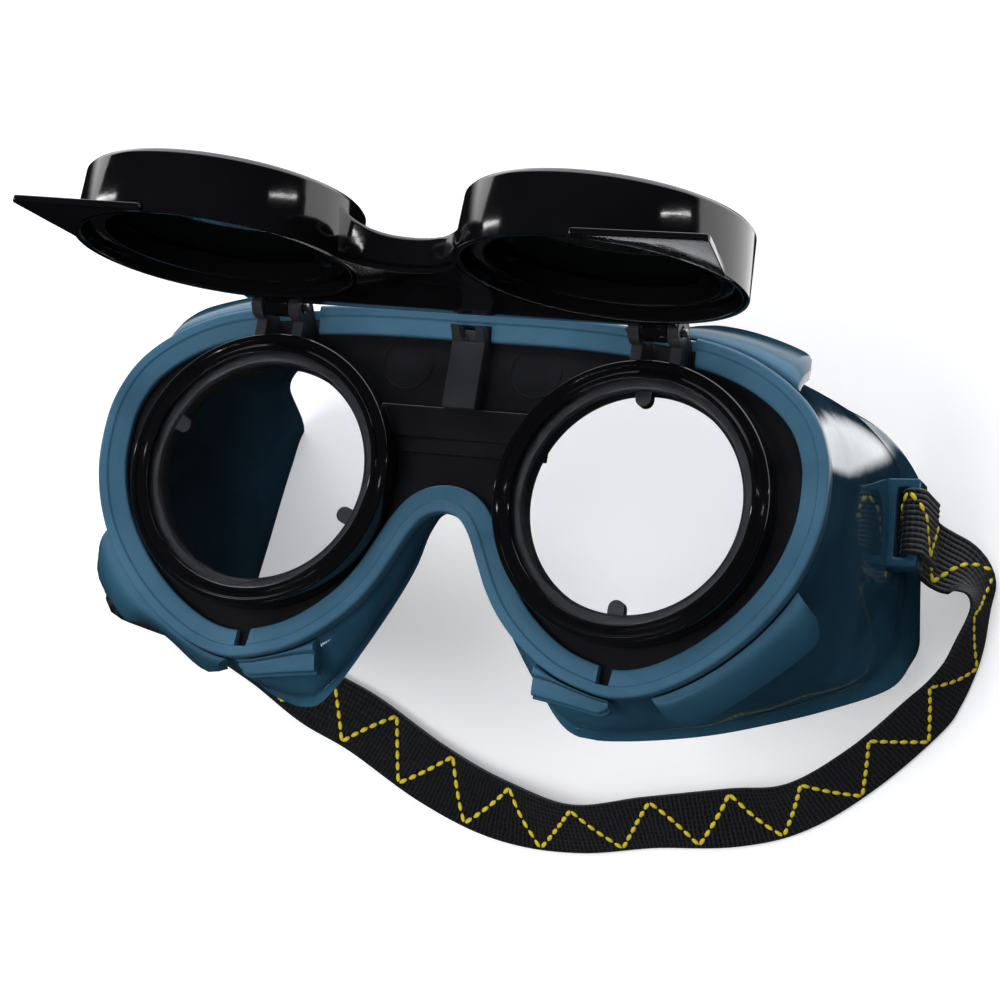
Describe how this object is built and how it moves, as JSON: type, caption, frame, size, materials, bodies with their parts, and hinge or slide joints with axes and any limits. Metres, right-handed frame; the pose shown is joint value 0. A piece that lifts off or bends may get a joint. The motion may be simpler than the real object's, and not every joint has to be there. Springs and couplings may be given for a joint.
{
  "type": "flip-up welding goggles",
  "caption": "Welding goggles with a soft mask, clear round eyepieces, a hinged front that flips dark lenses up, vent hoods and an elastic head strap.",
  "frame": {"origin": "centre of the bounding box's bottom face, without the strap: on the plane that the mask's temple edges stand on", "axes": "+X to the wearer's left, seen on the right from in front; +Y towards the forehead; +Z forward, out of the clear lenses"},
  "size_m": [0.2159, 0.1113, 0.1588],
  "materials": {
    "soft_pvc": "soft moulded teal blue vinyl, glossy and slightly see-through where thin",
    "vent_plastic": "moulded teal blue vinyl with a satin skin",
    "black_plastic": "black moulded plastic, satin to glossy",
    "ring_plastic": "black moulded plastic with a turned thread",
    "clear_lens": "clear polished polycarbonate",
    "cover_lens": "clear cover plate",
    "dark_glass": "dark green welding shade glass",
    "pin_steel": "plain drawn steel pin",
    "webbing": "ribbed black elastic webbing with a yellow zigzag thread"
  },
  "bodies": {
    "mask": {"mask_body": "soft_pvc", "vent_hood_top_right": "vent_plastic", "vent_hood_bottom_right": "vent_plastic", "nose_vent_hood_right": "vent_plastic", "vent_hood_top_left": "vent_plastic", "vent_hood_bottom_left": "vent_plastic", "nose_vent_hood_left": "vent_plastic", "front_frame": "black_plastic", "clear_lens_right": "clear_lens", "hinge_pin_right": "pin_steel", "clear_lens_left": "clear_lens", "hinge_pin_left": "pin_steel", "head_strap": "webbing", "strap_slider": "black_plastic"},
    "flip_front": {"flip_frame": "black_plastic", "dark_lens_right": "dark_glass", "dark_lens_left": "dark_glass", "cover_lens_right": "cover_lens", "cover_lens_left": "cover_lens"},
    "clear_ring_right": {"clear_lens_ring_right": "ring_plastic"},
    "clear_ring_left": {"clear_lens_ring_left": "ring_plastic"},
    "dark_ring_right": {"dark_lens_ring_right": "ring_plastic"},
    "dark_ring_left": {"dark_lens_ring_left": "ring_plastic"}
  },
  "joints": [
    {"name": "flip_hinge", "type": "hinge", "parent": "mask", "child": "flip_front", "pos_m": [0, 0.03363, 0.0926], "axis": [1, 0, 0], "range_deg": [0, 90]},
    {"name": "clear_ring_turn_right", "type": "hinge", "parent": "mask", "child": "clear_ring_right", "pos_m": [0.0411, -0.00137, 0.087], "axis": [0, 0, -1], "range_deg": [0, 360]},
    {"name": "clear_ring_turn_left", "type": "hinge", "parent": "mask", "child": "clear_ring_left", "pos_m": [-0.0411, -0.00137, 0.087], "axis": [0, 0, -1], "range_deg": [0, 360]},
    {"name": "dark_ring_turn_right", "type": "hinge", "parent": "flip_front", "child": "dark_ring_right", "pos_m": [0.0411, 0.03778, 0.1276], "axis": [0, -1, 0], "range_deg": [0, 360]},
    {"name": "dark_ring_turn_left", "type": "hinge", "parent": "flip_front", "child": "dark_ring_left", "pos_m": [-0.0411, 0.03778, 0.1276], "axis": [0, -1, 0], "range_deg": [0, 360]}
  ]
}
